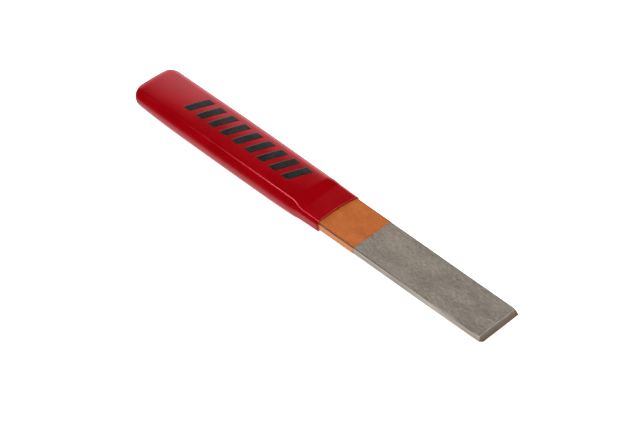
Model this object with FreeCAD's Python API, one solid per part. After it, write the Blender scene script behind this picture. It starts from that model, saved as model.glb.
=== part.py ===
import FreeCAD, Part
import math
import os

# Flat cold chisel: one lacquered steel forging with a closed plastic sleeve over its shank.
# Millimetres. +X runs from the butt to the cutting edge and +Z is up. The origin is below the
# middle of the tool's length and width, on the plane that the flat under the sleeve rests on.
# Every "station" below is a distance along the tool from the butt end of the sleeve.

V = FreeCAD.Vector

# Stations
TOTAL_LENGTH = 240.0
MOUTH = 135.4
LACQUER_END = 158.6
SHANK_BACK = 2.4
SHOULDER_BACK = 115.0
BLADE_BACK = 124.0

# Shank: a flat-oval bar with chamfered butt edges. Its middle plane lies below that of the blade.
SHANK_WIDTH = 26.8
SHANK_THICKNESS = 9.0
SHANK_SIDE_RADIUS = 4.0
SHANK_DROP = 0.75
BUTT_CHAMFER = 2.5

# Blade: a ground flat that narrows and thins slightly towards the cutting edge
BLADE_WIDTH_BACK = 25.75
BLADE_WIDTH_TIP = 24.65
BLADE_THICKNESS_BACK = 4.0
BLADE_THICKNESS_TIP = 3.6
BLADE_EDGE_RADIUS = 0.25
GRINDING = 0.05
BEVEL_LENGTH = 2.35
CUTTING_LAND = 0.2
SIDE_EASE_LENGTH = 8.0
SIDE_EASE_RADIUS = 80.0

# Films
LACQUER = 0.1
INK = 0.06

# How far from flat a lofted face may be and still count as a plane
FLATNESS = 1e-6

# Sleeve: half width, top and bottom at the fullest place of the grip, just in front of the shoulder, and
# at the mouth. Top and bottom are distances from the blade's middle plane. The grip is a slight barrel
# with a straight stretch along its bottom, and its side radius keeps a share of its half thickness. A
# shallow flat is cut into that bottom for the tool to rest on.
GRIP_FULLEST = 55.0
GRIP_HALF_WIDTH = 15.15
GRIP_TOP = 5.6
GRIP_BOTTOM = 7.1
GRIP_WIDTH_LOSS = 0.4
GRIP_TOP_LOSS = 0.3
GRIP_ROUNDNESS = 0.84
STRAIGHT_BACK = 35.0
STRAIGHT_FRONT = 100.0
BOTTOM_RISE = 0.65
BOTTOM_RISE_LENGTH = 20.0
FLAT_DEPTH = 0.15
STEP_BACK = 116.5
STEP_FRONT = 124.3
NECK_HALF_WIDTH = 14.12
NECK_TOP = 3.5
NECK_BOTTOM = 4.3
MOUTH_HALF_WIDTH = 13.8
MOUTH_TOP = 3.3
MOUTH_BOTTOM = 4.1
MOUTH_ROUNDNESS = 0.55
CROWN_RADIUS = 95.0
NECK_CROWN_RADIUS = 285.0
BUTT_CORNER_RADIUS = 5.5
BUTT_EDGE_DROP = 2.1
MOUTH_BOW = 0.9
MOUTH_EDGE_RADIUS = 0.45
PAST_MOUTH = 1.5
BUTT_STEPS = 10
BARREL_STEPS = 10
FRONT_STEPS = 16

# Printed mark: plain slanted bars on the upper broad face
BAR_COUNT = 9
BAR_WIDTH = 5.2
BAR_SLANT = 4.8
PRINT_BACK = 29.5
PRINT_FRONT = 110.5
PRINT_HEIGHT = 13.2
PRINT_MIDDLE_Y = 1.9

MIDDLE_X = TOTAL_LENGTH / 2
MIDDLE_Z = GRIP_BOTTOM - FLAT_DEPTH


def at(station, y, z):
    """A point from its station, its place across the tool and its height above the blade's middle plane."""
    return V(station - MIDDLE_X, y, z + MIDDLE_Z)


def rounded_section(station, half_width, half_thickness, radius, crown=None, drop=0.0):
    """A closed section across the tool: two broad faces, two sides and four arcs between them.

    With a crown radius, the broad faces are arcs that run tangent into the side arcs. With a drop, the
    section's own middle plane lies that far below the blade's.
    """
    centre_y = half_width - radius
    if crown:
        centre_z = half_thickness - crown + math.sqrt((crown - radius) ** 2 - centre_y ** 2)
        lean = math.asin(centre_y / (crown - radius))
    else:
        centre_z = half_thickness - radius
        lean = 0.0
    join_y = centre_y + radius * math.sin(lean)
    join_z = centre_z + radius * math.cos(lean)
    middle_angle = (math.pi / 2 + lean) / 2
    arc_y = centre_y + radius * math.sin(middle_angle)
    arc_z = centre_z + radius * math.cos(middle_angle)

    def spot(y, z):
        return at(station, y, z - drop)

    def broad_face(side):
        start = spot(-side * join_y, side * join_z)
        end = spot(side * join_y, side * join_z)
        if crown:
            return Part.Arc(start, spot(0, side * half_thickness), end).toShape()
        return Part.LineSegment(start, end).toShape()

    def corner(y_side, z_side):
        on_broad_face = spot(y_side * join_y, z_side * join_z)
        on_side = spot(y_side * half_width, z_side * centre_z)
        ends = [on_broad_face, on_side] if y_side == z_side else [on_side, on_broad_face]
        return Part.Arc(ends[0], spot(y_side * arc_y, z_side * arc_z), ends[1]).toShape()

    def side_face(side):
        start = spot(side * half_width, side * centre_z)
        return Part.LineSegment(start, spot(side * half_width, -side * centre_z)).toShape()

    edges = [broad_face(1), corner(1, 1), side_face(1), corner(1, -1)]
    edges += [broad_face(-1), corner(-1, -1), side_face(-1), corner(-1, 1)]
    return Part.Wire(edges)


def with_true_planes(solid):
    """The same solid, with each flat face of a loft made a true plane that can be measured from."""
    faces = []
    for face in solid.Faces:
        plane = face.findPlane(FLATNESS)
        faces.append(Part.Face(plane, face.OuterWire) if plane else face)
    return Part.makeSolid(Part.makeShell(faces))


def forging_blank(skin):
    """The shank, shoulder and flat blade before grinding, with a skin of the given thickness around them."""
    shank = (SHANK_WIDTH / 2 + skin, SHANK_THICKNESS / 2 + skin, SHANK_SIDE_RADIUS + skin)
    butt = [size - BUTT_CHAMFER for size in shank]
    ease = BLADE_EDGE_RADIUS + skin
    blade_back = (BLADE_WIDTH_BACK / 2 + skin, BLADE_THICKNESS_BACK / 2 + skin, ease)
    blade_tip = (BLADE_WIDTH_TIP / 2 + skin, BLADE_THICKNESS_TIP / 2 + skin, ease)
    sections = [
        rounded_section(SHANK_BACK - skin, *butt, drop=SHANK_DROP),
        rounded_section(SHANK_BACK - skin + BUTT_CHAMFER, *shank, drop=SHANK_DROP),
        rounded_section(SHOULDER_BACK, *shank, drop=SHANK_DROP),
        rounded_section(BLADE_BACK, *blade_back),
        rounded_section(TOTAL_LENGTH, *blade_tip),
    ]
    return with_true_planes(Part.makeLoft(sections, True, True))


def prism(outline, direction):
    """A solid swept from a closed flat outline of points along a direction."""
    return Part.Face(Part.makePolygon(outline + outline[:1])).extrude(direction)


def flat_waste(side):
    """What grinding takes off one broad face of the blade, from the lacquer's end to the cutting edge."""
    share = (LACQUER_END - BLADE_BACK) / (TOTAL_LENGTH - BLADE_BACK)
    back = between(BLADE_THICKNESS_BACK, BLADE_THICKNESS_TIP, share) / 2 - GRINDING
    tip = BLADE_THICKNESS_TIP / 2 - GRINDING
    outline = [
        at(LACQUER_END, -BLADE_WIDTH_BACK, side * back),
        at(TOTAL_LENGTH, -BLADE_WIDTH_BACK, side * tip),
        at(TOTAL_LENGTH, -BLADE_WIDTH_BACK, side * BLADE_THICKNESS_BACK),
        at(LACQUER_END, -BLADE_WIDTH_BACK, side * BLADE_THICKNESS_BACK),
    ]
    return prism(outline, V(0, 2 * BLADE_WIDTH_BACK, 0))


def bevel_waste(side):
    """What grinding takes off one ground flat to make the cutting bevel."""
    low = CUTTING_LAND / 2
    slope = (BLADE_THICKNESS_TIP / 2 - GRINDING - low) / BEVEL_LENGTH
    high = low + slope * 2 * BEVEL_LENGTH
    outline = [
        at(TOTAL_LENGTH - 2 * BEVEL_LENGTH, -BLADE_WIDTH_BACK, side * high),
        at(TOTAL_LENGTH, -BLADE_WIDTH_BACK, side * low),
        at(TOTAL_LENGTH, -BLADE_WIDTH_BACK, side * high),
    ]
    return prism(outline, V(0, 2 * BLADE_WIDTH_BACK, 0))


def side_waste(side):
    """What is taken off one side next to the cutting edge, to leave it eased in by a shallow arc."""
    r = SIDE_EASE_RADIUS
    lean = math.atan((BLADE_WIDTH_BACK - BLADE_WIDTH_TIP) / 2 / (TOTAL_LENGTH - BLADE_BACK))
    back = TOTAL_LENGTH - SIDE_EASE_LENGTH
    half = BLADE_WIDTH_TIP / 2 + math.tan(lean) * SIDE_EASE_LENGTH
    depth = 1.5
    low = -BLADE_THICKNESS_BACK
    block_y = half - depth if side > 0 else -half - depth
    block = Part.makeBox(SIDE_EASE_LENGTH, 2 * depth, 2 * BLADE_THICKNESS_BACK, at(back, block_y, low))
    centre = at(back - r * math.sin(lean), side * (half - r * math.cos(lean)), low)
    return block.cut(Part.makeCylinder(r, 2 * BLADE_THICKNESS_BACK, centre))


def chisel_bar():
    """The steel forging: hidden shank and shoulder, ground blade and two-sided cutting bevel."""
    bar = forging_blank(0.0)
    for side in (1, -1):
        bar = bar.cut(flat_waste(side))
        bar = bar.cut(bevel_waste(side))
        bar = bar.cut(side_waste(side))
    return bar


def lacquered_bar():
    """The outside of the lacquer, from the butt to the line where it stops on the blade."""
    width = 2 * SHANK_WIDTH
    keep = Part.makeBox(LACQUER_END, width, width, at(0, -width / 2, -width / 2))
    return forging_blank(LACQUER).common(keep)


def eased(share):
    """A smooth step from 0 to 1."""
    share = min(max(share, 0.0), 1.0)
    return share * share * (3 - 2 * share)


def between(start, end, share):
    return start + (end - start) * share


def sleeve_size(station):
    """Half width, half thickness, side radius, crown radius and drop of the sleeve in front of its butt."""
    off_fullest = ((station - GRIP_FULLEST) / GRIP_FULLEST) ** 2
    along_neck = (station - STEP_FRONT) / (MOUTH - STEP_FRONT)
    step = eased((station - STEP_BACK) / (STEP_FRONT - STEP_BACK))
    half_width = between(
        GRIP_HALF_WIDTH - GRIP_WIDTH_LOSS * off_fullest,
        between(NECK_HALF_WIDTH, MOUTH_HALF_WIDTH, along_neck),
        step,
    )
    top = between(
        GRIP_TOP - GRIP_TOP_LOSS * off_fullest,
        between(NECK_TOP, MOUTH_TOP, along_neck),
        step,
    )
    past_straight = max(STRAIGHT_BACK - station, station - STRAIGHT_FRONT, 0.0) / BOTTOM_RISE_LENGTH
    bottom = between(
        GRIP_BOTTOM - BOTTOM_RISE * past_straight ** 2,
        between(NECK_BOTTOM, MOUTH_BOTTOM, along_neck),
        step,
    )
    half_thickness = (top + bottom) / 2
    radius = half_thickness * between(GRIP_ROUNDNESS, MOUTH_ROUNDNESS, step)
    crown = between(CROWN_RADIUS, NECK_CROWN_RADIUS, step)
    return half_width, half_thickness, radius, crown, (bottom - top) / 2


def butt_section(angle, skin):
    """A section in the butt end, whose corners are round in plan and whose edges turn in more tightly."""
    station = BUTT_CORNER_RADIUS * (1 - math.cos(angle))
    half_width, half_thickness, radius, crown, drop = sleeve_size(station)
    turned_in = 1 - math.sin(angle)
    half_width -= BUTT_CORNER_RADIUS * turned_in
    thinning = 1 - BUTT_EDGE_DROP * turned_in ** 2 / half_thickness
    return rounded_section(
        station - skin,
        half_width + skin,
        half_thickness * thinning + skin,
        radius * thinning + skin,
        crown / thinning + skin,
        drop,
    )


def evenly(start, end, count):
    """Stations from start to end, both included, at an even spacing."""
    return [between(start, end, i / count) for i in range(count + 1)]


def sleeve_section(station, skin):
    *sizes, drop = sleeve_size(station)
    return rounded_section(station, *[size + skin for size in sizes], drop)


def sleeve_outside(skin):
    """The outer shape of the sleeve with a skin of the given thickness, running past the mouth.

    It is three lofts end to end: the rounded butt, the barrel of the grip, and the step down to the mouth.
    """
    butt = [butt_section(math.pi / 2 * i / BUTT_STEPS, skin) for i in range(BUTT_STEPS)]
    butt.append(sleeve_section(BUTT_CORNER_RADIUS, skin))
    barrel = [sleeve_section(s, skin) for s in evenly(BUTT_CORNER_RADIUS, STEP_BACK, BARREL_STEPS)]
    front = [sleeve_section(s, skin) for s in evenly(STEP_BACK, MOUTH + PAST_MOUTH, FRONT_STEPS)]
    lofts = [Part.makeLoft(sections, True, False) for sections in (butt, barrel, front)]
    return lofts[0].multiFuse(lofts[1:])


def mouth_waste():
    """A block whose round back face cuts the mouth, so that the lip bows back between the two sides."""
    bow_radius = MOUTH_HALF_WIDTH ** 2 / (2 * MOUTH_BOW) + MOUTH_BOW / 2
    height = 6 * GRIP_BOTTOM
    centre = at(MOUTH - MOUTH_BOW + bow_radius, 0, -height / 2)
    return Part.makeCylinder(bow_radius, height, centre)


def underside_waste():
    """What is missing below the flat that the tool rests on."""
    width = 3 * GRIP_HALF_WIDTH
    return Part.makeBox(MOUTH, width, 2 * FLAT_DEPTH, at(0, -width / 2, -GRIP_BOTTOM - FLAT_DEPTH))


def grip_sleeve():
    """The closed plastic sleeve, which fits the lacquered bar everywhere inside."""
    outside = sleeve_outside(0.0).cut(mouth_waste()).cut(underside_waste())
    rim = [
        edge
        for edge in outside.Edges
        if edge.CenterOfMass.x > at(MOUTH - 1.5 * MOUTH_BOW, 0, 0).x
    ]
    outside = outside.makeFillet(MOUTH_EDGE_RADIUS, rim)
    return outside.cut(lacquered_bar())


def grip_print():
    """The ink film: slanted bars that follow the upper broad face of the sleeve."""
    film = sleeve_outside(INK).cut(sleeve_outside(0.0))
    pitch = (PRINT_FRONT - PRINT_BACK - BAR_WIDTH - BAR_SLANT) / (BAR_COUNT - 1)
    low_y = PRINT_MIDDLE_Y - PRINT_HEIGHT / 2
    high_y = PRINT_MIDDLE_Y + PRINT_HEIGHT / 2
    bars = []
    for i in range(BAR_COUNT):
        back = PRINT_BACK + i * pitch
        outline = [
            at(back, low_y, 0),
            at(back + BAR_WIDTH, low_y, 0),
            at(back + BAR_WIDTH + BAR_SLANT, high_y, 0),
            at(back + BAR_SLANT, high_y, 0),
        ]
        bars.append(film.common(prism(outline, V(0, 0, 2 * GRIP_TOP))))
    return Part.makeCompound([solid for bar in bars for solid in bar.Solids])


def main():
    os.makedirs("parts", exist_ok=True)
    bar = chisel_bar()
    shapes = {
        "chisel_bar": bar,
        "lacquer_coat": lacquered_bar().cut(forging_blank(0.0)),
        "grip_sleeve": grip_sleeve(),
        "grip_print": grip_print(),
    }
    for name, shape in shapes.items():
        shape.exportStep("parts/" + name + ".step")
        print(name, shape.isValid(), len(shape.Solids), round(shape.Volume, 1), shape.BoundBox)


main()
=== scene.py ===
import math

import bmesh
import bpy
from mathutils import Matrix, Vector, noise
from mathutils.bvhtree import BVHTree


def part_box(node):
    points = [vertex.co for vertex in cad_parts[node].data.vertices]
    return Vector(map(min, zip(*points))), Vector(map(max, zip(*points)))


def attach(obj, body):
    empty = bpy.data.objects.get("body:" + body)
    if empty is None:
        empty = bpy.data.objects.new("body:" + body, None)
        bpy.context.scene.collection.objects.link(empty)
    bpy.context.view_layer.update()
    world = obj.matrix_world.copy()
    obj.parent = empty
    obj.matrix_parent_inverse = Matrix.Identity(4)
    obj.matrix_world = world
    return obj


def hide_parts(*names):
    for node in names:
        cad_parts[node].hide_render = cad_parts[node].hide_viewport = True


# Flat cold chisel on a pale floor. Metres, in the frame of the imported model: +X runs from the butt
# to the cutting edge, +Z is up. A "station" is a distance along the tool from its butt end.

MM = 0.001

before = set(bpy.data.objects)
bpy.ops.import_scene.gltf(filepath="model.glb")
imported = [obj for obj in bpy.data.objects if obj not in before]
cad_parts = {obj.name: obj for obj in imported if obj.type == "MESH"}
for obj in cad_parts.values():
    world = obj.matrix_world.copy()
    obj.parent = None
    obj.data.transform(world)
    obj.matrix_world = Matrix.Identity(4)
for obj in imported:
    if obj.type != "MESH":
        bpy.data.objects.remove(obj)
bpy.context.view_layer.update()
sleeve_low, sleeve_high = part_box("grip_sleeve")
print_low, print_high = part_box("grip_print")
coat_low, coat_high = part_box("lacquer_coat")

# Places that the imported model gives
BUTT_X = sleeve_low.x
GRIP_HALF_WIDTH = sleeve_high.y
COAT_HALF_WIDTH = coat_high.y
COAT_HALF_THICKNESS = (coat_high.z - coat_low.z) / 2

# Sleeve. Top and bottom are distances from the blade's middle plane. A shallow flat is cut into the bottom
# for the tool to rest on.
GRIP_FULLEST = 55.0 * MM
GRIP_BOTTOM = 7.1 * MM
GRIP_WIDTH_LOSS = 0.4 * MM
GRIP_TOP_LOSS = 0.3 * MM
GRIP_ROUNDNESS = 0.84
STRAIGHT_BACK = 35.0 * MM
STRAIGHT_FRONT = 100.0 * MM
BOTTOM_RISE = 0.65 * MM
BOTTOM_RISE_LENGTH = 20.0 * MM
FLAT_DEPTH = 0.15 * MM
GRIP_TOP = sleeve_high.z - sleeve_low.z - GRIP_BOTTOM + FLAT_DEPTH
STEP_BACK = 116.5 * MM
STEP_FRONT = 124.3 * MM
NECK_HALF_WIDTH = 14.12 * MM
NECK_TOP = 3.5 * MM
NECK_BOTTOM = 4.3 * MM
MOUTH_HALF_WIDTH = 13.8 * MM
MOUTH_TOP = 3.3 * MM
MOUTH_BOTTOM = 4.1 * MM
MOUTH_ROUNDNESS = 0.62
CROWN_RADIUS = 95.0 * MM
NECK_CROWN_RADIUS = 285.0 * MM
BUTT_CORNER = 5.5 * MM
BUTT_EDGE_DROP = 2.1 * MM
MOUTH = 135.4 * MM
MOUTH_MIDDLE = 134.95 * MM
MOUTH_SLANT = 0.03
MOUTH_BOW = 5.5
LIP_RADIUS = 0.42 * MM
LIP_FACE_SHARES = (0.5, 0.85)
SLEEVE_GAP = 0.02 * MM

# The bar under the sleeve, with its lacquer
MIDDLE_Z = sleeve_low.z + GRIP_BOTTOM - FLAT_DEPTH
COAT_DROP = 0.75 * MM
COAT_SIDE_RADIUS = 4.1 * MM
COAT_BACK = 2.3 * MM
COAT_CHAMFER = 2.5 * MM
SHOULDER_BACK = 115.0 * MM
BLADE_BACK = 124.0 * MM
BLADE_HALF_WIDTHS = (12.975 * MM, 12.425 * MM)
BLADE_HALF_THICKNESSES = (2.1 * MM, 1.9 * MM)
BLADE_EDGE_RADIUS = 0.35 * MM
TOTAL_LENGTH = 240.0 * MM

# Printed bars, laid on the sleeve by rays from above the tool. The ink's top stands out from the plastic by
# a share of its thickness, which is less at the edges.
BAR_COUNT = 9
BAR_WIDTH = 5.2 * MM
BAR_SLANT = 4.8 * MM
BAR_CORNER = 0.5 * MM
INK = 0.06 * MM
INK_AT_EDGE = 0.55
INK_INSIDE = 0.95
ABOVE_TOOL = 1.0

# Fineness of the meshes
BROAD_STEPS = 28
CORNER_STEPS = 18
SIDE_STEPS = 1
BUTT_RINGS = 18
BARREL_RINGS = 84
FRONT_RINGS = 64
LIP_STEPS = 8
INNER_RINGS = 12
BUTT_CAP_RINGS = 6
INNER_CAP_RINGS = 3
BAR_COLUMNS = 12
BAR_CORNER_ROWS = 4
BAR_MIDDLE_ROWS = 24

# Unevenness of the dipped plastic: long waves and small ripples that fade out before the lip, each with a
# height, a scale on each axis and a start in the noise. One crease lies on the step.
WAVE = 0.035 * MM
WAVE_SCALE = (26, 60, 60)
WAVE_START = 3.1
RIPPLE = 0.004 * MM
RIPPLE_SCALE = (120, 190, 190)
RIPPLE_START = 9.7
LIP_CALM = 1.5 * MM
LIP_FADE = 6.0 * MM
CREASE_BACK = 121.0 * MM
CREASE_FRONT = 124.5 * MM
CREASE_Y = (-10.4 * MM, -11.5 * MM)
CREASE_HEIGHT = 0.05 * MM
CREASE_WIDTH = 0.45 * MM

# Blade: its bevel, and how far its differently coloured edges reach, among them painted highlights on the
# bevel's crest and along the long edges
BEVEL_LENGTH = 2.35 * MM
BEVEL_BLEND = (-0.01 * MM, 0.05 * MM)
CREST_HIGHLIGHT_REACH = 0.15 * MM
SIDE_REACH = (0.2 * MM, 0.3 * MM)
STEEL_EDGE_REACH = 0.7 * MM
LACQUER_EDGE_REACH = 1.0 * MM
DARK_EDGE_LENGTH = 55.0 * MM

# Heights of the fine relief in the materials
PEEL_HEIGHT = 0.0012 * MM
PLASTIC_WAVE_HEIGHT = 0.004 * MM
INK_RELIEF = 0.003 * MM
LACQUER_GRIND_HEIGHT = 0.006 * MM
LACQUER_WAVE_HEIGHT = 0.03 * MM
STREAK_HEIGHT = 0.012 * MM
SHORT_STREAK_HEIGHT = 0.008 * MM

# Studio. Pairs are where a change begins and ends, or the values on either side of it.
FLOOR_HALF = 6.0
FLOOR_GLOW = 1.0
BACKDROP_LIGHT = (1.85, 0.92)
BACKDROP_DIM = (-0.50, -0.43, 1.0, 0.6)
BACKDROP_FALL = (0.45, 0.66)
BACKDROP_LOW_X = -0.52
BACKDROP_LOW = 0.562
BACKDROP_RISE = 1.45
BACKDROP_TOP = 0.69
BACKDROP_TURN = (-0.15, 0.35)
SOFT_TOP = 0.04
ROOM_LIGHT = 0.11
CEILING_EDGE = (0.71, 0.76)
CEILING_TURN = (-0.1, 0.1)
DARK = 0.012
STRIP_LEAN = -0.155
STRIP_HALF_WIDTH = 0.07
STRIP_SOFT = (0.6, 1.4)
STRIP_LOWEST = 0.05
STRIP_START = (-0.563, -0.515)
STRIP_END = (0.3, 0.5)
STRIP_LIGHT = 11.0
TABLE_EDGE = (-0.02, -0.6)
TABLE_LIGHT = (1.1, 1.4)
TABLE_TURN = (0.5, 0.8)
KEY_DIRECTION = (0.12, -0.25, 0.96)
KEY_DISTANCE = 1.4
KEY_SIZE = (0.7, 0.9)
KEY_LIGHT = 7.2
FILL_DIRECTION = (0.1, -0.95, 0.2)
FILL_LIGHT = 2.8
LIP_BOX = (0.35, 0.5, 0.79)
LIP_BOX_HALF = 0.13
LIP_BOX_SOFT = 0.8
LIP_BOX_LIGHT = 7.0
CAMERA_LENS = 105.54
CAMERA_SENSOR = 36.0
CAMERA_CLIP = (0.01, 50.0)
CAMERA_AZIMUTH = 45.605
CAMERA_ELEVATION = 43.764
CAMERA_DISTANCE = 0.9032
CAMERA_TARGET = (0.01078, -0.005926, MIDDLE_Z)


def eased(share):
    """A smooth step from 0 to 1."""
    share = min(max(share, 0.0), 1.0)
    return share * share * (3 - 2 * share)


def between(start, end, share):
    """The value at a share of the way from start to end."""
    return start + (end - start) * share


def hump(value, centre, width):
    """A smooth bump of height 1 about a centre."""
    return math.exp(-(((value - centre) / width) ** 2))


# ---------------------------------------------------------------- sleeve


def sleeve_size(station):
    """Half width, half thickness, side radius, crown radius and drop of the sleeve in front of its butt."""
    off_fullest = ((station - GRIP_FULLEST) / GRIP_FULLEST) ** 2
    along_neck = (station - STEP_FRONT) / (MOUTH - STEP_FRONT)
    step = eased((station - STEP_BACK) / (STEP_FRONT - STEP_BACK))
    half_width = between(
        GRIP_HALF_WIDTH - GRIP_WIDTH_LOSS * off_fullest,
        between(NECK_HALF_WIDTH, MOUTH_HALF_WIDTH, along_neck),
        step,
    )
    top = between(
        GRIP_TOP - GRIP_TOP_LOSS * off_fullest,
        between(NECK_TOP, MOUTH_TOP, along_neck),
        step,
    )
    past_straight = max(STRAIGHT_BACK - station, station - STRAIGHT_FRONT, 0.0) / BOTTOM_RISE_LENGTH
    bottom = between(
        GRIP_BOTTOM - BOTTOM_RISE * past_straight ** 2,
        between(NECK_BOTTOM, MOUTH_BOTTOM, along_neck),
        step,
    )
    half_thickness = (top + bottom) / 2
    radius = half_thickness * between(GRIP_ROUNDNESS, MOUTH_ROUNDNESS, step)
    crown = between(CROWN_RADIUS, NECK_CROWN_RADIUS, step)
    return half_width, half_thickness, radius, crown, (bottom - top) / 2


def butt_size(angle):
    """Station and section sizes in the rounded butt end, from 0 at the end face to a quarter turn."""
    station = BUTT_CORNER * (1 - math.cos(angle))
    half_width, half_thickness, radius, crown, drop = sleeve_size(station)
    turned_in = 1 - math.sin(angle)
    thinning = 1 - BUTT_EDGE_DROP * turned_in ** 2 / half_thickness
    half_width -= BUTT_CORNER * turned_in
    return station, (half_width, half_thickness * thinning, radius * thinning, crown / thinning, drop)


def coat_size(station):
    """Half width, half thickness, side radius and drop of the lacquered bar."""
    along = (station - BLADE_BACK) / (TOTAL_LENGTH - BLADE_BACK)
    blade = (
        between(*BLADE_HALF_WIDTHS, along),
        between(*BLADE_HALF_THICKNESSES, along),
        BLADE_EDGE_RADIUS,
        0.0,
    )
    shank = (COAT_HALF_WIDTH, COAT_HALF_THICKNESS, COAT_SIDE_RADIUS, COAT_DROP)
    step = min(max((station - SHOULDER_BACK) / (BLADE_BACK - SHOULDER_BACK), 0.0), 1.0)
    return [between(a, b, step) for a, b in zip(shank, blade)]


def section(half_width, half_thickness, radius, crown, drop):
    """Points (y, z) round a section of two broad faces, two sides and four arcs between them.

    It starts in the middle of the upper face and goes round by +Y. All sections have the same number
    of points, so that rings of them can be joined. Without a crown radius, the broad faces are flat.
    """
    centre_y = half_width - radius
    if crown:
        centre_z = half_thickness - crown + math.sqrt((crown - radius) ** 2 - centre_y ** 2)
        lean = math.asin(centre_y / (crown - radius))
    else:
        centre_z = half_thickness - radius
        lean = 0.0
    quarter = []
    for i in range(BROAD_STEPS):
        share = i / BROAD_STEPS
        if crown:
            turn = lean * share
            quarter.append((crown * math.sin(turn), half_thickness - crown * (1 - math.cos(turn))))
        else:
            quarter.append((centre_y * share, half_thickness))
    for i in range(CORNER_STEPS):
        turn = between(lean, math.pi / 2, i / CORNER_STEPS)
        quarter.append((centre_y + radius * math.sin(turn), centre_z + radius * math.cos(turn)))
    for i in range(SIDE_STEPS):
        quarter.append((half_width, centre_z * (1 - i / SIDE_STEPS)))
    right = quarter + [(half_width, 0.0)] + [(y, -z) for y, z in reversed(quarter)]
    left = [(-y, z) for y, z in reversed(right[1:-1])]
    return [(y, z - drop) for y, z in right + left]


def mouth_shift(y):
    """How far the mouth lies in front of its nominal station at a place across the tool."""
    return MOUTH_MIDDLE + MOUTH_SLANT * y + MOUTH_BOW * y * y - MOUTH


def ring(station, points):
    """A ring of points in the model's frame. In front of the step, rings follow the bowed mouth."""
    share = eased((station - STEP_FRONT) / (MOUTH - STEP_FRONT))
    return [Vector((BUTT_X + station + share * mouth_shift(y), y, MIDDLE_Z + z)) for y, z in points]


def evenly(start, end, count):
    """Values from just after start to end, at an even spacing."""
    return [between(start, end, (i + 1) / count) for i in range(count)]


def outer_rings():
    """Rings of the outer surface, from the end face of the butt to the start of the lip."""
    rings = []
    for i in range(BUTT_RINGS + 1):
        station, sizes = butt_size(math.pi / 2 * i / BUTT_RINGS)
        rings.append(ring(station, section(*sizes)))
    stations = evenly(BUTT_CORNER, STEP_BACK, BARREL_RINGS)
    stations += evenly(STEP_BACK, MOUTH - LIP_RADIUS, FRONT_RINGS)
    return rings + [ring(s, section(*sleeve_size(s))) for s in stations]


def lip_rings():
    """Rings over the rounded lip and across its front face, down to the lacquered bar."""
    rings = []
    for turn in evenly(0.0, math.pi / 2, LIP_STEPS):
        *sizes, drop = sleeve_size(MOUTH)
        inset = LIP_RADIUS * (1 - math.cos(turn))
        points = section(*[size - inset for size in sizes], drop)
        rings.append(ring(MOUTH - LIP_RADIUS * (1 - math.sin(turn)), points))
    inner = inner_ring(MOUTH)
    outer = rings[-1]
    for share in LIP_FACE_SHARES:
        rings.append([a.lerp(b, share) for a, b in zip(outer, inner)])
    return rings


def inner_ring(station):
    """A ring just outside the lacquered bar."""
    *sizes, drop = coat_size(station)
    chamfer = max(COAT_BACK + COAT_CHAMFER - station, 0.0)
    sizes = [size - chamfer + SLEEVE_GAP for size in sizes]
    return ring(station - SLEEVE_GAP * (chamfer > 0), section(*sizes, None, drop))


def inner_rings():
    """Rings of the inner surface, from the mouth back to the end of the bar."""
    stations = [MOUTH - LIP_RADIUS / 2]
    stations += evenly(MOUTH - LIP_RADIUS, BLADE_BACK, INNER_RINGS)
    stations += [SHOULDER_BACK]
    stations += evenly(SHOULDER_BACK, COAT_BACK + COAT_CHAMFER, INNER_RINGS)
    stations += [COAT_BACK]
    return [inner_ring(s) for s in stations]


def uneven(point, scale, start):
    """Smooth noise at a point, with a scale on each axis."""
    x, y, z = (place * factor for place, factor in zip(point, scale))
    return noise.noise(Vector((x, y, z + start)))


def crease_height(station, y):
    """The height of the crease, which runs at a slight slant along the step."""
    length = CREASE_FRONT - CREASE_BACK
    line = between(*CREASE_Y, (station - CREASE_BACK) / length)
    middle = (CREASE_BACK + CREASE_FRONT) / 2
    return CREASE_HEIGHT * hump(y, line, CREASE_WIDTH) * hump(station, middle, length / 2)


def surface_change(point):
    """How far the sleeve's outer surface stands off its even form, as dipped plastic is never quite even."""
    station = point.x - BUTT_X
    away_from_lip = eased((MOUTH - LIP_CALM - station) / LIP_FADE)
    change = WAVE * (uneven(point, WAVE_SCALE, WAVE_START) - 1)
    change += RIPPLE * (uneven(point, RIPPLE_SCALE, RIPPLE_START) - 1)
    crease = crease_height(station, point.y) if point.z > MIDDLE_Z else 0.0
    return change * away_from_lip + crease


def closed_by(bm, rim, centre, steps):
    """Closes a ring of vertices with smaller rings and a middle point in its own plane."""
    last = rim
    for i in range(1, steps):
        share = 1 - i / steps
        last = joined(bm, last, [centre.lerp(v.co, share) for v in rim])
    middle = bm.verts.new(centre)
    for i, vert in enumerate(last):
        bm.faces.new((vert, last[(i + 1) % len(last)], middle))


def joined(bm, last, points):
    """Adds a ring of vertices and the band of faces that joins it to the last one."""
    new = [bm.verts.new(p) for p in points]
    if last:
        for i in range(len(new)):
            j = (i + 1) % len(new)
            bm.faces.new((last[i], last[j], new[j], new[i]))
    return new


def mesh_object(name, bm, material):
    """An object made of a finished bmesh, smooth all over."""
    bmesh.ops.recalc_face_normals(bm, faces=bm.faces)
    mesh = bpy.data.meshes.new(name)
    bm.to_mesh(mesh)
    bm.free()
    mesh.polygons.foreach_set("use_smooth", [True] * len(mesh.polygons))
    mesh.materials.append(material)
    made = bpy.data.objects.new(name, mesh)
    bpy.context.scene.collection.objects.link(made)
    return made


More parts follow.
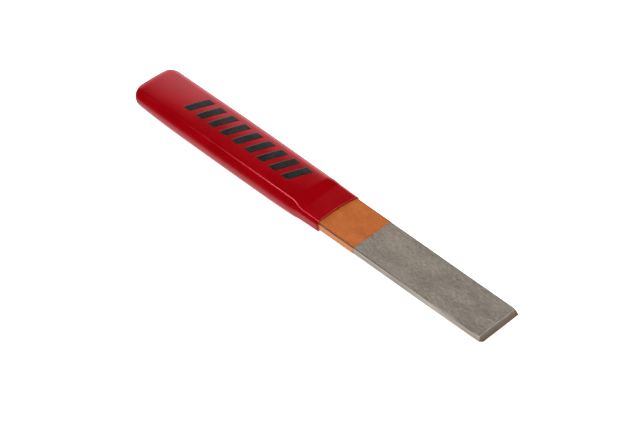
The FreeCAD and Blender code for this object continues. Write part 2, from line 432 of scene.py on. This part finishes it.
def make_sleeve(material):
    """The dipped plastic sleeve: a closed shell with a rounded butt, a flat to rest on, a rolled lip and
    an inside."""
    bm = bmesh.new()
    outer = outer_rings()
    first = last = joined(bm, None, outer[0])
    for points in outer[1:]:
        last = joined(bm, last, points)
    closed_by(bm, first, Vector((BUTT_X, 0, MIDDLE_Z)), BUTT_CAP_RINGS)
    bmesh.ops.recalc_face_normals(bm, faces=bm.faces)
    bm.normal_update()
    changes = [(v, v.normal * surface_change(v.co)) for v in bm.verts]
    for vert, change in changes:
        vert.co += change
        vert.co.z = max(vert.co.z, sleeve_low.z)
    for points in lip_rings() + inner_rings():
        last = joined(bm, last, points)
    closed_by(bm, last, Vector((BUTT_X + COAT_BACK - SLEEVE_GAP, 0, MIDDLE_Z)), INNER_CAP_RINGS)
    return mesh_object("sleeve", bm, material)


# ---------------------------------------------------------------- print


def bar_rows():
    """Shares of the print's height at which a bar has a row of points, closer at its rounded ends."""
    height = print_high.y - print_low.y
    turns = [math.pi / 2 * i / BAR_CORNER_ROWS for i in range(BAR_CORNER_ROWS + 1)]
    ends = [BAR_CORNER * (1 - math.cos(turn)) / height for turn in turns]
    middle = evenly(ends[-1], 1 - ends[-1], BAR_MIDDLE_ROWS)[:-1]
    return ends + middle + [1 - e for e in reversed(ends)]


def bar_outline_row(share):
    """The two ends in X of a bar's row, from the bar's own back corner. Its corners are rounded."""
    height = print_high.y - print_low.y
    to_end = min(share, 1 - share) * height
    into_corner = max(BAR_CORNER - to_end, 0.0)
    inset = BAR_CORNER - math.sqrt(BAR_CORNER ** 2 - into_corner ** 2)
    return BAR_SLANT * share + inset, BAR_SLANT * share + BAR_WIDTH - inset


def make_print(sleeve, material):
    """Slanted bars of ink that lie on the upper face of the sleeve, each a thin closed film."""
    tree = BVHTree.FromObject(sleeve, bpy.context.evaluated_depsgraph_get())
    length = print_high.x - print_low.x
    pitch = (length - BAR_WIDTH - BAR_SLANT) / (BAR_COUNT - 1)
    rows = bar_rows()
    bm = bmesh.new()
    for bar in range(BAR_COUNT):
        top = []
        bottom = []
        for row, share in enumerate(rows):
            start, end = bar_outline_row(share)
            y = between(print_low.y, print_high.y, share)
            for column in range(BAR_COLUMNS + 1):
                x = print_low.x + bar * pitch + between(start, end, column / BAR_COLUMNS)
                on_edge = row in (0, len(rows) - 1) or column in (0, BAR_COLUMNS)
                spot, normal = tree.ray_cast(Vector((x, y, ABOVE_TOOL)), Vector((0, 0, -1)))[:2]
                top.append(bm.verts.new(spot + normal * INK * (INK_AT_EDGE if on_edge else INK_INSIDE)))
                bottom.append(bm.verts.new(spot - normal * INK))
        width = BAR_COLUMNS + 1
        for row in range(len(rows) - 1):
            for column in range(BAR_COLUMNS):
                a = row * width + column
                corners = (a, a + 1, a + width + 1, a + width)
                bm.faces.new([top[i] for i in corners])
                bm.faces.new([bottom[i] for i in reversed(corners)])
        count = len(rows) * width
        rim = list(range(width)) + [r * width + width - 1 for r in range(1, len(rows))]
        rim += [count - 1 - i for i in range(1, width)] + [r * width for r in range(len(rows) - 2, 0, -1)]
        for i, j in zip(rim, rim[1:] + rim[:1]):
            bm.faces.new((top[j], top[i], bottom[i], bottom[j]))
    return mesh_object("printed_bars", bm, material)


# ---------------------------------------------------------------- materials


class Nodes:
    """A node tree in the making. Its methods add one node each and return that node's output."""

    def __init__(self, tree, coordinates):
        self.tree = tree
        self.place = self.add("ShaderNodeTexCoord").outputs[coordinates]
        split = self.add("ShaderNodeSeparateXYZ")
        self.put(split.inputs[0], self.place)
        self.x, self.y, self.z = split.outputs

    def add(self, kind, **settings):
        node = self.tree.nodes.new(kind)
        for name, value in settings.items():
            setattr(node, name, value)
        return node

    def put(self, socket, value):
        """Links an output to a socket, or sets the socket's own value."""
        if isinstance(value, bpy.types.NodeSocket):
            self.tree.links.new(value, socket)
        elif isinstance(value, tuple) and len(value) == 3 and socket.type == "RGBA":
            socket.default_value = (*value, 1.0)
        else:
            socket.default_value = value

    def math(self, operation, a, b=0.0, c=0.0, clamp=False):
        node = self.add("ShaderNodeMath", operation=operation, use_clamp=clamp)
        for socket, value in zip(node.inputs, (a, b, c)):
            self.put(socket, value)
        return node.outputs[0]

    def ranged(self, value, low, high, to_low=0.0, to_high=1.0, smooth=True):
        kind = "SMOOTHSTEP" if smooth else "LINEAR"
        node = self.add("ShaderNodeMapRange", interpolation_type=kind, clamp=True)
        for socket, number in zip(node.inputs, (value, low, high, to_low, to_high)):
            self.put(socket, number)
        return node.outputs[0]


class Surface(Nodes):
    """A node material in the making, in the object's own coordinates."""

    def __init__(self, name):
        self.material = bpy.data.materials.new(name)
        self.material.use_nodes = True
        super().__init__(self.material.node_tree, "Object")
        self.shader = self.tree.nodes["Principled BSDF"]

    def set(self, **values):
        for name, value in values.items():
            self.put(self.shader.inputs[name.replace("_", " ").title()], value)

    def stretched(self, x, y, z, turn=0.0):
        """The object's own coordinates, scaled on each axis and turned about Z."""
        node = self.add("ShaderNodeMapping", vector_type="POINT")
        self.put(node.inputs["Vector"], self.place)
        node.inputs["Rotation"].default_value = (0.0, 0.0, turn)
        node.inputs["Scale"].default_value = (x, y, z)
        return node.outputs[0]

    def noise(self, where, scale, detail=2.0, roughness=0.5, distortion=0.0):
        node = self.add("ShaderNodeTexNoise")
        self.put(node.inputs["Vector"], where)
        node.inputs["Scale"].default_value = scale
        node.inputs["Detail"].default_value = detail
        node.inputs["Roughness"].default_value = roughness
        node.inputs["Distortion"].default_value = distortion
        return node.outputs["Fac"]

    def mixed(self, share, first, second, blend="MIX"):
        node = self.add("ShaderNodeMix", data_type="RGBA", blend_type=blend)
        self.put(node.inputs[0], share)
        self.put(node.inputs[6], first)
        self.put(node.inputs[7], second)
        return node.outputs[2]

    def bump(self, height, distance, strength=1.0, after=None):
        node = self.add("ShaderNodeBump")
        node.inputs["Distance"].default_value = distance
        node.inputs["Strength"].default_value = strength
        self.put(node.inputs["Height"], height)
        if after:
            self.put(node.inputs["Normal"], after)
        return node.outputs[0]

    def blade_half_width(self):
        """Half the blade's width at each place along it."""
        back_x = BUTT_X + BLADE_BACK
        front_x = BUTT_X + TOTAL_LENGTH
        return self.ranged(self.x, back_x, front_x, *BLADE_HALF_WIDTHS, smooth=False)

    def on_side(self):
        """1 on the blade's narrow sides and 0 on its broad faces."""
        across = self.math("SUBTRACT", self.blade_half_width(), self.math("ABSOLUTE", self.y))
        return self.ranged(across, *SIDE_REACH, 1.0, 0.0)

    def near_long_edge(self, reach):
        """1 along the blade's long edges, falling to 0 a given distance in from them on both faces."""
        across = self.math("SUBTRACT", self.blade_half_width(), self.math("ABSOLUTE", self.y))
        height = self.math("ABSOLUTE", self.math("SUBTRACT", self.z, MIDDLE_Z))
        half_thickness = self.ranged(
            self.x, BUTT_X + BLADE_BACK, BUTT_X + TOTAL_LENGTH, *BLADE_HALF_THICKNESSES, smooth=False
        )
        down = self.math("SUBTRACT", half_thickness, height)
        return self.ranged(self.math("MAXIMUM", across, down), 0.0, reach, 1.0, 0.0)


def sleeve_plastic():
    """Glossy red dipped plastic, slightly uneven in colour and gloss, with a faint orange peel."""
    s = Surface("sleeve_plastic")
    cloud = s.noise(s.stretched(1, 1.6, 1.6), 60.0, 3.0, 0.55)
    fine = s.noise(s.place, 900.0, 2.0, 0.6)
    scuffs = s.noise(s.stretched(1, 14, 14, 0.1), 70.0, 4.0, 0.6)
    colour = s.mixed(s.ranged(cloud, 0.3, 0.7), (0.215, 0.0004, 0.0020), (0.245, 0.0008, 0.0034))
    gloss = s.math("ADD", s.ranged(cloud, 0.3, 0.7, 0.10, 0.14), s.ranged(scuffs, 0.56, 0.75, 0.0, 0.06))
    peel = s.bump(fine, PEEL_HEIGHT)
    waves = s.bump(s.noise(s.stretched(1, 1.5, 1.5), 150.0, 2.0), PLASTIC_WAVE_HEIGHT, after=peel)
    s.set(base_color=colour, roughness=gloss, normal=waves)
    s.shader.inputs["IOR"].default_value = 1.8
    s.shader.inputs["Specular Tint"].default_value = (1.0, 0.17, 0.21, 1.0)
    return s.material


def ink():
    """Dark printed ink, thin enough that its gloss follows the plastic, with a few worn pinholes."""
    s = Surface("ink")
    cloud = s.noise(s.place, 220.0, 3.0, 0.6)
    pinholes = s.ranged(s.noise(s.place, 2600.0, 1.0, 0.4), 0.72, 0.78)
    dark = s.mixed(s.ranged(cloud, 0.35, 0.7), (0.005, 0.007, 0.006), (0.009, 0.011, 0.010))
    colour = s.mixed(pinholes, dark, (0.05, 0.004, 0.006))
    rough = s.ranged(cloud, 0.3, 0.7, 0.22, 0.32)
    s.set(base_color=colour, roughness=rough, normal=s.bump(cloud, INK_RELIEF))
    s.shader.inputs["Specular IOR Level"].default_value = 0.17
    return s.material


def lacquer():
    """Copper-orange lacquer over ground steel: mottled, darker where it has run to the long edges, and
    painted a lighter, brighter orange on its narrow sides as painted light.
    """
    s = Surface("lacquer")
    mottle = s.noise(s.stretched(0.7, 1.2, 1.2, 0.5), 190.0, 4.0, 0.6, 0.8)
    waves = s.noise(s.stretched(1, 0.35, 0.35, 0.2), 260.0, 2.0, 0.5, 1.2)
    grind = s.noise(s.stretched(1, 24, 24), 120.0, 3.0, 0.6)
    light = s.mixed(s.ranged(mottle, 0.3, 0.7), (0.385, 0.088, 0.008), (0.44, 0.105, 0.011))
    colour = s.mixed(s.ranged(waves, 0.45, 0.7, 0.0, 0.35), light, (0.34, 0.075, 0.006))
    grain = s.noise(s.stretched(1, 2.2, 2.2, 0.1), 900.0, 3.0, 0.75)
    colour = s.mixed(s.ranged(grain, 0.45, 0.75, 0.0, 0.6), colour, (0.55, 0.18, 0.046))
    # Painted light: the narrow sides get a lighter, brighter orange than the broad faces, for how the light
    # falls on them.
    colour = s.mixed(s.on_side(), colour, (0.50, 0.145, 0.022))
    edge = s.math("MULTIPLY", s.near_long_edge(LACQUER_EDGE_REACH), s.ranged(mottle, 0.2, 0.6, 0.7, 1.0))
    colour = s.mixed(edge, colour, (0.045, 0.024, 0.006))
    rough = s.ranged(mottle, 0.3, 0.7, 0.3, 0.42)
    ground = s.bump(grind, LACQUER_GRIND_HEIGHT)
    s.set(base_color=colour, roughness=rough, normal=s.bump(waves, LACQUER_WAVE_HEIGHT, after=ground))
    s.shader.inputs["Metallic"].default_value = 0.35
    s.shader.inputs["Coat Weight"].default_value = 0.3
    s.shader.inputs["Coat Roughness"].default_value = 0.15
    return s.material


def ground_steel():
    """Bare steel with short lengthwise grinding streaks, a browner bevel, a painted highlight along the
    bevel's crest, and long edges lighter in patches, partly wear and partly a painted highlight.
    """
    s = Surface("ground_steel")
    streaks = s.noise(s.stretched(1, 9, 9, 0.02), 260.0, 4.0, 0.75)
    short = s.noise(s.stretched(0.42, 5.0, 5.0), 1250.0, 3.0, 0.85)
    cloud = s.noise(s.stretched(1, 2, 2), 70.0, 3.0, 0.5)
    tint = s.noise(s.stretched(1, 3, 3), 240.0, 2.0, 0.5)
    colour = s.mixed(s.ranged(streaks, 0.3, 0.7), (0.28, 0.236, 0.194), (0.46, 0.398, 0.338))
    colour = s.mixed(s.ranged(short, 0.33, 0.50, 0.95, 0.0), colour, (0.16, 0.127, 0.10))
    colour = s.mixed(s.ranged(short, 0.52, 0.70, 0.0, 0.9), colour, (0.95, 0.85, 0.76))
    colour = s.mixed(s.ranged(tint, 0.5, 0.8, 0.0, 0.3), colour, (0.46, 0.385, 0.335))
    hairlines = s.noise(s.stretched(0.12, 1, 8), 260.0, 3.0, 0.6)
    side = s.mixed(s.ranged(hairlines, 0.35, 0.65), (0.25, 0.212, 0.178), (0.56, 0.49, 0.425))
    colour = s.mixed(s.on_side(), colour, side)
    bevel_x = BUTT_X + TOTAL_LENGTH - BEVEL_LENGTH
    on_bevel = s.ranged(s.x, *(bevel_x + blend for blend in BEVEL_BLEND))
    down_bevel = s.ranged(s.x, bevel_x, BUTT_X + TOTAL_LENGTH, smooth=False)
    bevel_tint = s.mixed(down_bevel, (0.172, 0.145, 0.122), (0.118, 0.068, 0.036))
    bevel_tint = s.mixed(s.ranged(tint, 0.45, 0.6, 0.0, 0.5), bevel_tint, (0.125, 0.113, 0.108))
    colour = s.mixed(on_bevel, colour, bevel_tint)
    edge = s.near_long_edge(STEEL_EDGE_REACH)
    from_lacquer = s.ranged(s.x, coat_high.x, coat_high.x + DARK_EDGE_LENGTH, 1.0, 0.0)
    colour = s.mixed(s.math("MULTIPLY", edge, from_lacquer), colour, (0.10, 0.085, 0.075))
    # Past the dark stretch the long edges are painted lighter: partly wear, in cloudy patches, and partly a
    # painted edge highlight.
    worn_edge_and_highlight = s.math("MULTIPLY", s.math("SUBTRACT", edge, from_lacquer, clamp=True), s.ranged(cloud, 0.35, 0.65))
    colour = s.mixed(worn_edge_and_highlight, colour, (0.74, 0.69, 0.64))
    # Painted highlight: a light line along the bevel's crest, where the edge would catch the light.
    crest_highlight = s.ranged(s.math("ABSOLUTE", s.math("SUBTRACT", s.x, bevel_x)), 0.0, CREST_HIGHLIGHT_REACH, 0.6, 0.0)
    colour = s.mixed(crest_highlight, colour, (0.74, 0.70, 0.66))
    rough = s.math("ADD", s.ranged(streaks, 0.25, 0.75, 0.42, 0.30), s.ranged(cloud, 0.3, 0.7, 0.0, 0.06))
    fine = s.bump(streaks, STREAK_HEIGHT)
    s.set(base_color=colour, roughness=rough, normal=s.bump(short, SHORT_STREAK_HEIGHT, after=fine))
    s.shader.inputs["Metallic"].default_value = 1.0
    return s.material


def floor_paint():
    """A pale matt floor that shows white, and that is clear from below so that the underside can be seen."""
    s = Surface("floor_paint")
    cloud = s.noise(s.place, 3.0, 2.0)
    colour = s.mixed(cloud, (0.80, 0.80, 0.80), (0.82, 0.82, 0.82))
    s.set(base_color=colour, roughness=0.9)
    s.shader.inputs["Specular IOR Level"].default_value = 0.0
    s.shader.inputs["Emission Color"].default_value = (1.0, 1.0, 1.0, 1.0)
    s.shader.inputs["Emission Strength"].default_value = FLOOR_GLOW
    clear = s.add("ShaderNodeBsdfTransparent")
    choice = s.add("ShaderNodeMixShader")
    behind = s.add("ShaderNodeNewGeometry").outputs["Backfacing"]
    s.put(choice.inputs[0], behind)
    s.put(choice.inputs[1], s.shader.outputs[0])
    s.put(choice.inputs[2], clear.outputs[0])
    s.put(s.tree.nodes["Material Output"].inputs["Surface"], choice.outputs[0])
    return s.material


# ---------------------------------------------------------------- studio


def make_floor(material):
    bm = bmesh.new()
    corners = [(-1, -1), (1, -1), (1, 1), (-1, 1)]
    bm.faces.new([bm.verts.new((x * FLOOR_HALF, y * FLOOR_HALF, 0.0)) for x, y in corners])
    floor = mesh_object("floor", bm, material)
    floor.visible_glossy = False


def make_sky():
    """A dim room: a bright backdrop behind the tool (+Y), a long strip light above it, a small soft box
    high up behind it, and a white table below, which can be brighter behind the tool.

    Directions are unit vectors. The backdrop's top edge is lowest at one place and rises to both sides.
    The backdrop is at its full brightness only towards the butt (-X), and dimmer elsewhere.
    """
    world = bpy.data.worlds.new("studio")
    bpy.context.scene.world = world
    world.use_nodes = True
    n = Nodes(world.node_tree, "Generated")
    rise = n.math("ABSOLUTE", n.math("SUBTRACT", n.x, BACKDROP_LOW_X))
    edge = n.math("MINIMUM", n.math("MULTIPLY_ADD", rise, BACKDROP_RISE, BACKDROP_LOW), BACKDROP_TOP)
    edge = n.math("MULTIPLY", edge, n.ranged(n.y, *BACKDROP_TURN))
    ceiling = n.math("MULTIPLY", n.ranged(n.z, *CEILING_EDGE, ROOM_LIGHT, DARK), n.ranged(n.y, *CEILING_TURN))
    wall = n.ranged(n.z, *BACKDROP_FALL, *BACKDROP_LIGHT, smooth=False)
    wall = n.math("MULTIPLY", wall, n.ranged(n.x, *BACKDROP_DIM))
    wall = n.ranged(n.math("SUBTRACT", n.z, edge), -SOFT_TOP, SOFT_TOP, wall, 0.0)
    lean = n.math("DIVIDE", n.y, n.math("MAXIMUM", n.z, STRIP_LOWEST))
    off_strip = n.math("ABSOLUTE", n.math("SUBTRACT", lean, STRIP_LEAN))
    strip = n.ranged(off_strip, *(STRIP_HALF_WIDTH * soft for soft in STRIP_SOFT), STRIP_LIGHT, 0.0)
    strip = n.math("MULTIPLY", strip, n.ranged(n.x, *STRIP_START))
    strip = n.math("MULTIPLY", strip, n.ranged(n.x, *STRIP_END, 1.0, 0.0))
    table = n.ranged(n.z, *TABLE_EDGE, 0.0, TABLE_LIGHT[0])
    behind = n.ranged(n.y, *TABLE_TURN)
    behind = n.math("MULTIPLY", behind, n.math("LESS_THAN", n.z, 0.0))
    table = n.math("MAXIMUM", table, n.math("MULTIPLY", behind, TABLE_LIGHT[1]))
    off_box = [n.math("ABSOLUTE", n.math("SUBTRACT", a, b)) for a, b in zip((n.x, n.y, n.z), LIP_BOX)]
    furthest = n.math("MAXIMUM", n.math("MAXIMUM", *off_box[:2]), off_box[2])
    lip_box = n.ranged(furthest, LIP_BOX_HALF * LIP_BOX_SOFT, LIP_BOX_HALF, LIP_BOX_LIGHT, 0.0)
    light = n.math("ADD", n.math("MAXIMUM", n.math("MAXIMUM", wall, ceiling), lip_box), strip)
    light = n.math("ADD", n.math("MULTIPLY", light, n.math("GREATER_THAN", n.z, 0.0)), table)
    background = n.tree.nodes["Background"]
    background.inputs["Color"].default_value = (1.0, 1.0, 1.0, 1.0)
    n.put(background.inputs["Strength"], n.math("MAXIMUM", light, DARK))


def make_area_light(name, direction, distance, size, strength, along=(1, 0, 0)):
    """A rectangular soft light that faces the tool. Strength is its radiance."""
    data = bpy.data.lights.new(name, "AREA")
    data.shape = "RECTANGLE"
    data.size, data.size_y = size
    data.energy = strength * math.pi * size[0] * size[1]
    lamp = bpy.data.objects.new(name, data)
    bpy.context.scene.collection.objects.link(lamp)
    away = Vector(direction).normalized()
    side = (Vector(along) - away * away.dot(Vector(along))).normalized()
    lamp.matrix_world = basis(side, away.cross(side), away, away * distance)
    return lamp


def basis(x_axis, y_axis, z_axis, place):
    """A matrix whose columns are three axes and a place."""
    rows = [(x_axis[i], y_axis[i], z_axis[i], place[i]) for i in range(3)]
    return Matrix(rows + [(0, 0, 0, 1)])


def make_camera():
    azimuth = math.radians(CAMERA_AZIMUTH)
    elevation = math.radians(CAMERA_ELEVATION)
    back = Vector((
        math.sin(azimuth) * math.cos(elevation),
        -math.cos(azimuth) * math.cos(elevation),
        math.sin(elevation),
    ))
    data = bpy.data.cameras.new("camera")
    data.lens = CAMERA_LENS
    data.sensor_width = CAMERA_SENSOR
    camera = bpy.data.objects.new("camera", data)
    bpy.context.scene.collection.objects.link(camera)
    camera.location = Vector(CAMERA_TARGET) + back * CAMERA_DISTANCE
    camera.rotation_mode = "QUATERNION"
    camera.rotation_quaternion = (-back).to_track_quat("-Z", "Y")
    data.clip_start, data.clip_end = CAMERA_CLIP
    bpy.context.scene.camera = camera


# ---------------------------------------------------------------- build

make_camera()
make_floor(floor_paint())
make_sky()
make_area_light("key", KEY_DIRECTION, KEY_DISTANCE, KEY_SIZE, KEY_LIGHT)
fill = make_area_light("fill", FILL_DIRECTION, KEY_DISTANCE, KEY_SIZE, FILL_LIGHT)
fill.visible_glossy = False
bpy.context.scene.view_settings.view_transform = "Standard"

sleeve = make_sleeve(sleeve_plastic())
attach(sleeve, "root")
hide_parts("grip_sleeve")

bars = make_print(sleeve, ink())
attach(bars, "root")
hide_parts("grip_print")

for node, material in (("chisel_bar", ground_steel()), ("lacquer_coat", lacquer())):
    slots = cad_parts[node].data.materials
    for i in range(len(slots)):
        slots[i] = material
